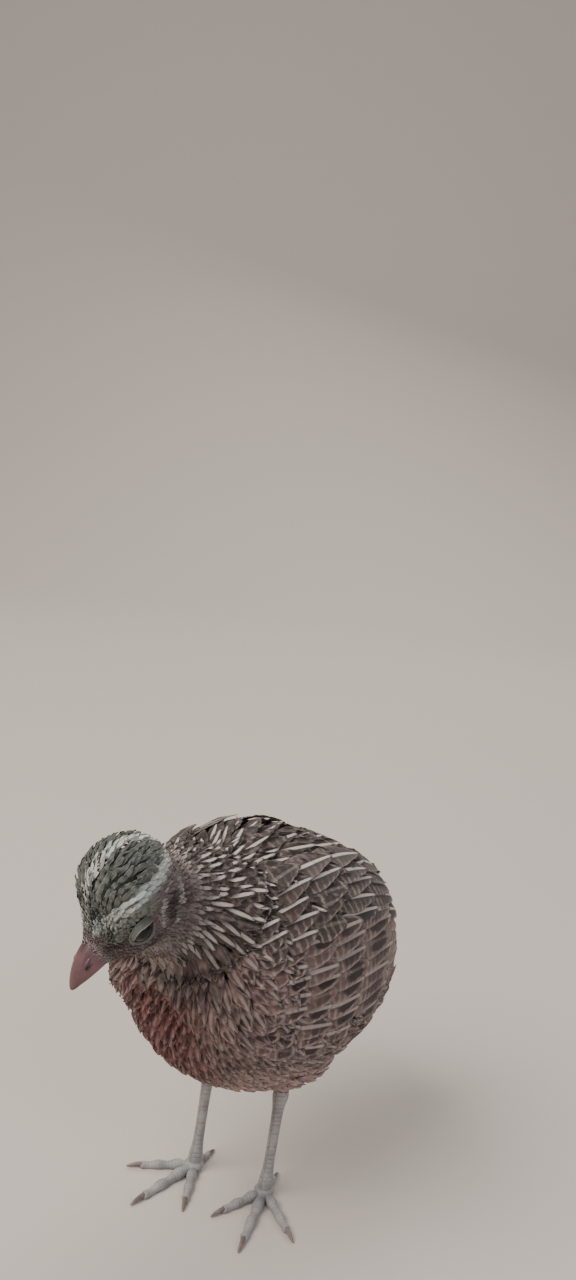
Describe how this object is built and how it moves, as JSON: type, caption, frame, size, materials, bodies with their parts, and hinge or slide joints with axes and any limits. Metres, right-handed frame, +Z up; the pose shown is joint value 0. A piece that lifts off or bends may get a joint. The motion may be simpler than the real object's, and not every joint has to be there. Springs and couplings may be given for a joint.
{
  "type": "coturnix quail",
  "caption": "Life-size model of a young coturnix quail standing with its head bent down: rounded body, folded wings of overlapping feathers, short drooping tail, slender legs and toes.",
  "frame": {"origin": "on the floor under the centre of the bird's box", "axes": "+Z up, the breast and bill towards -Y, the tail towards +Y, the bird's left side at +X"},
  "size_m": [0.0622, 0.1272, 0.1111],
  "materials": {
    "body_plumage": "soft brown plumage with buff bars, cream shaft streaks and dark spots",
    "flight_feathers": "grey-brown vanes crossed by fine buff bars",
    "eye": "wet, nearly black",
    "bill": "dusky pink-brown horn, darker along the ridge",
    "leg_scales": "pale grey flesh skin in flat scales",
    "claw": "translucent brown horn"
  },
  "bodies": {
    "root": {"torso": "body_plumage", "neck": "body_plumage", "head": "body_plumage", "thigh_left": "body_plumage", "thigh_right": "body_plumage", "wing_left": "flight_feathers", "wing_right": "flight_feathers", "tail": "flight_feathers", "eye_left": "eye", "eye_right": "eye", "bill_upper": "bill", "bill_lower": "bill", "shank_left": "leg_scales", "shank_right": "leg_scales", "foot_left": "leg_scales", "foot_right": "leg_scales", "toe_left_hallux": "leg_scales", "toe_left_inner": "leg_scales", "toe_left_middle": "leg_scales", "toe_left_outer": "leg_scales", "toe_right_hallux": "leg_scales", "toe_right_inner": "leg_scales", "toe_right_middle": "leg_scales", "toe_right_outer": "leg_scales", "claw_left_hallux": "claw", "claw_left_inner": "claw", "claw_left_middle": "claw", "claw_left_outer": "claw", "claw_right_hallux": "claw", "claw_right_inner": "claw", "claw_right_middle": "claw", "claw_right_outer": "claw"}
  },
  "joints": []
}
